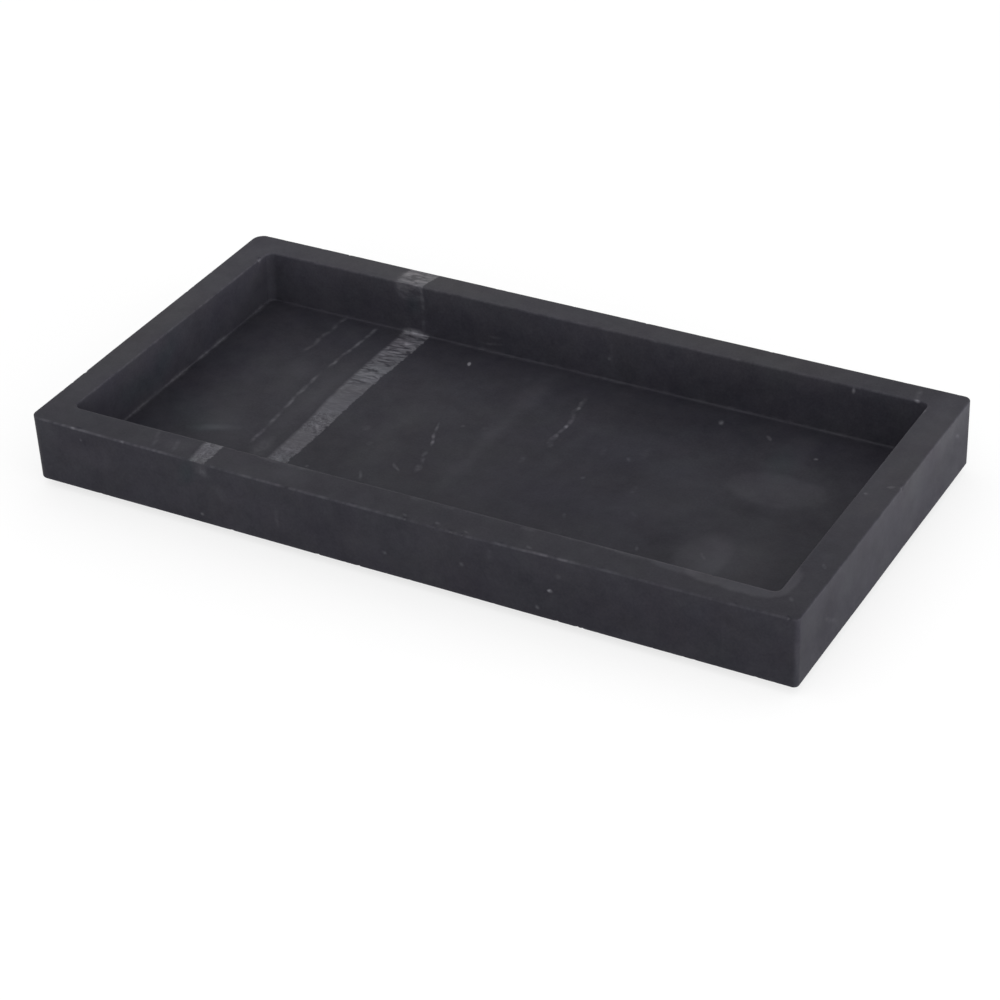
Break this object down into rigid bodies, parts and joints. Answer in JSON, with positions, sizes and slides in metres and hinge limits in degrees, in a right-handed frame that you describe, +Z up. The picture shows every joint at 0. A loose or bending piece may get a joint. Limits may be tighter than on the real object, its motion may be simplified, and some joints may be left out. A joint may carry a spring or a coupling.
{
  "type": "stone vanity tray",
  "caption": "Shallow rectangular tray milled from one block of honed black marble with a pale vein, standing on low self-adhesive silicone feet.",
  "frame": {"origin": "middle of the footprint, on the surface that the feet stand on", "axes": "+X along the tray's length, +Y across it towards the back, +Z up"},
  "size_m": [0.3, 0.15, 0.028],
  "materials": {
    "black_marble": "matte",
    "silicone": "satin",
    "acrylic_tape": "matte"
  },
  "bodies": {
    "root": {"stone_tray": "black_marble", "foot_front_left": "silicone", "foot_front_right": "silicone", "foot_back_left": "silicone", "foot_back_right": "silicone", "adhesive_front_left": "acrylic_tape", "adhesive_front_right": "acrylic_tape", "adhesive_back_left": "acrylic_tape", "adhesive_back_right": "acrylic_tape"}
  },
  "joints": []
}
